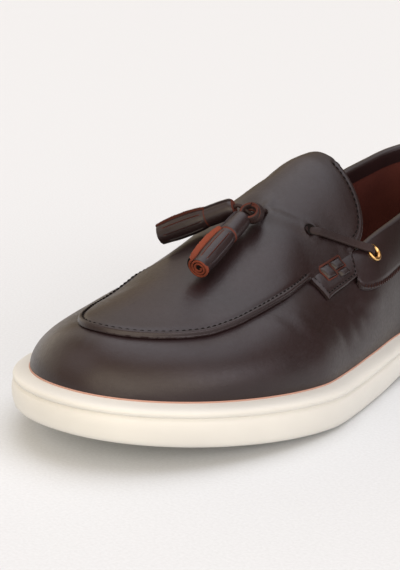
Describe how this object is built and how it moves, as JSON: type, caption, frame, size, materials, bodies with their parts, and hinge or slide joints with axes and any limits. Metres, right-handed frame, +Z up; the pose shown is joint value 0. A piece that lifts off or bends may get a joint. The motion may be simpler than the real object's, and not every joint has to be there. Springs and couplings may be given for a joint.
{
  "type": "tassel loafer",
  "caption": "Dark brown leather moc-toe loafer for the left foot, with a cream cup sole, side laces through brass eyelets and rolled leather tassels on the apron.",
  "frame": {"origin": "centre of the shoe's plan at the floor under its flat heel and ball", "axes": "+Y to the heel and -Y to the toe, +X to the outer (lateral) side, +Z up"},
  "size_m": [0.1129, 0.302, 0.0893],
  "materials": {
    "leather": "semi-gloss dark brown leather",
    "thong": "satin dark brown thong leather",
    "lining": "matte red-brown lining leather",
    "sole": "matte cream rubber",
    "brass": "aged brass"
  },
  "bodies": {
    "root": {"outsole": "sole", "insole": "lining", "upper": "leather", "apron_tongue": "leather", "collar_band": "leather", "eyelet_lateral": "brass", "eyelet_medial": "brass", "lace_bar_lateral": "thong", "lace_bar_medial": "thong", "tab_weave_lateral": "thong", "tab_weave_medial": "thong", "lace_knot": "thong", "lace_end_near": "thong", "lace_end_far": "thong", "tassel_near": "leather", "tassel_far": "leather"}
  },
  "joints": []
}
